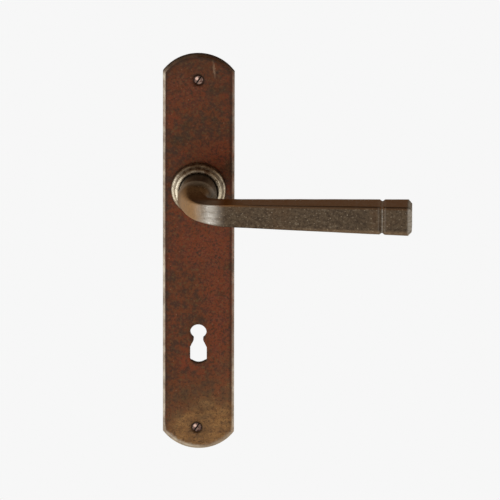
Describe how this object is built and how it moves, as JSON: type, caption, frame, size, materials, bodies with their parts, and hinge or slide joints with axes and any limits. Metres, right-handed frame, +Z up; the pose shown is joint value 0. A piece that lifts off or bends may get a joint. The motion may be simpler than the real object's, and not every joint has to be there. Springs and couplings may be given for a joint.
{
  "type": "door lever handle",
  "caption": "Lever handle on a long backplate with arched ends, a keyhole, a beaded collar and a flared square grip, in aged brown metal.",
  "frame": {"origin": "on the spindle's axis, at the back of the plate, where it meets the face of the door", "axes": "+X to the right along the grip, +Y through the plate into the door, +Z up"},
  "size_m": [0.1473, 0.1151, 0.2467],
  "materials": {
    "plate_metal": "aged red-brown",
    "lever_metal": "aged, rubbed brighter at the bend",
    "collar_metal": "rubbed bright on the bead",
    "screw_metal": "worn",
    "steel": "plain",
    "spring_steel": "oiled black",
    "bronze": "machined",
    "nylon": "moulded"
  },
  "bodies": {
    "plate_body": {"backplate": "plate_metal", "collar_ring": "collar_metal", "collar_screw_1": "steel", "collar_screw_2": "steel", "collar_screw_3": "steel", "fixing_screw_top": "screw_metal", "fixing_screw_bottom": "screw_metal", "bearing_bush": "bronze", "stop_pin_1": "steel", "stop_pin_2": "steel", "spring_anchor_pin": "steel", "return_spring": "spring_steel"},
    "lever_body": {"lever_handle": "lever_metal", "spindle": "steel", "grub_screw": "spring_steel", "spring_drive_pin": "steel", "thrust_washer": "nylon", "stop_disc": "steel", "wave_washer": "spring_steel", "circlip": "spring_steel"}
  },
  "joints": [
    {"name": "lever_turn", "type": "hinge", "parent": "plate_body", "child": "lever_body", "pos_m": [0, 0, 0], "axis": [0, 1, 0], "range_deg": [0, 40], "stiffness_Nm_per_rad": 0.8, "springref_deg": -28.65, "deforming": ["return_spring"]}
  ]
}
